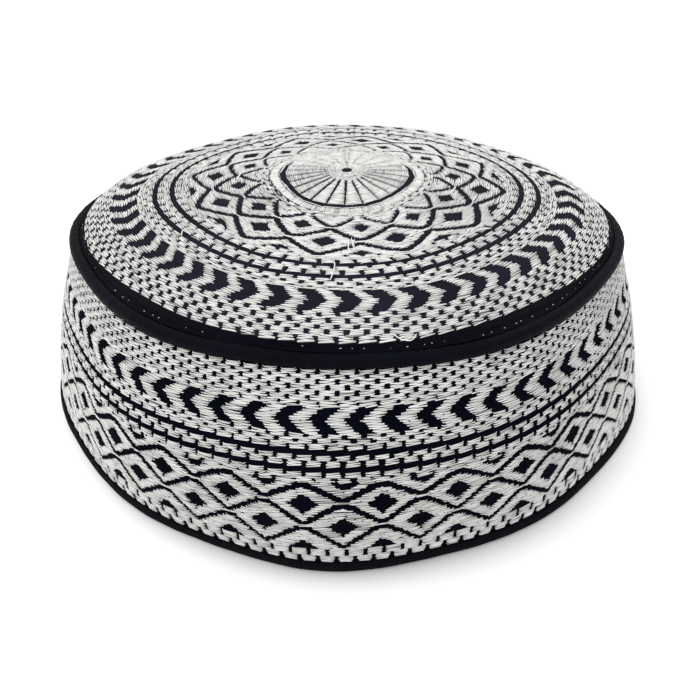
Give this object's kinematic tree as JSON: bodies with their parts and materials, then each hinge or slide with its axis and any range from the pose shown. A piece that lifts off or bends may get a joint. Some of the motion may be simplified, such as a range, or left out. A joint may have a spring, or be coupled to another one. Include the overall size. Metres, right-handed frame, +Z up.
{
  "type": "embroidered kufi cap",
  "caption": "Oval brimless kufi cap with a low domed crown, upright embroidered side band, round crown piping and folded hem binding.",
  "frame": {"origin": "centre of the hem's underside, on the surface the cap stands on", "axes": "+Z up through the crown, +X along the longer axis of the oval hem, -Y towards the creased end that faces the viewer"},
  "size_m": [0.2056, 0.1934, 0.0798],
  "materials": {
    "embroidered_cloth": "matte cotton under raised light thread",
    "black_piping": "slightly satin woven tape",
    "black_tape": "slightly satin woven tape"
  },
  "bodies": {
    "root": {"crown": "embroidered_cloth", "side_band": "embroidered_cloth", "crown_piping": "black_piping", "piping_flange": "black_piping", "hem_binding": "black_tape"}
  },
  "joints": []
}
